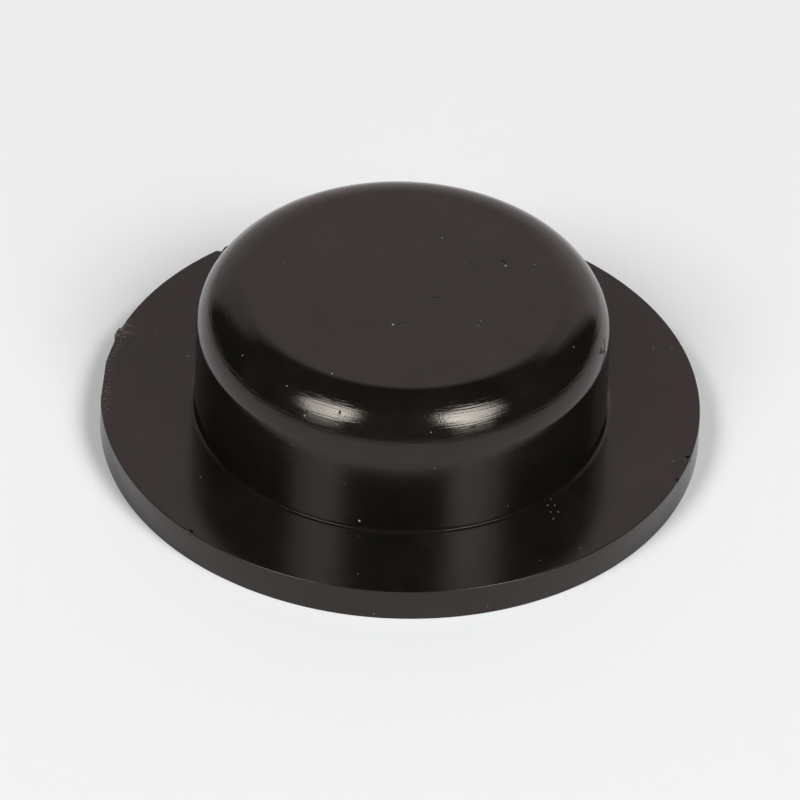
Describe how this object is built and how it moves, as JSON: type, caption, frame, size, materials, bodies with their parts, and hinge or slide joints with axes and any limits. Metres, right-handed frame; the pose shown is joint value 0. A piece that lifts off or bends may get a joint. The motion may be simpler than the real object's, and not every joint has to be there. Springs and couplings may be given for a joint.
{
  "type": "plastic hole plug",
  "caption": "Round push-in plug moulded in one piece: a flat flange that stops on the panel and a hollow boss with a rounded shoulder that fills the hole.",
  "frame": {"origin": "centre of the flange's underside, the plane that the plug stands on", "axes": "+Z along the boss, from the flange towards its flat top; the trimmed gate is at the rim's -X side"},
  "size_m": [0.05, 0.05, 0.0148],
  "materials": {
    "moulded_plastic": "black, semi-gloss as moulded, lightly scuffed"
  },
  "bodies": {
    "root": {"hole_plug": "moulded_plastic"}
  },
  "joints": []
}
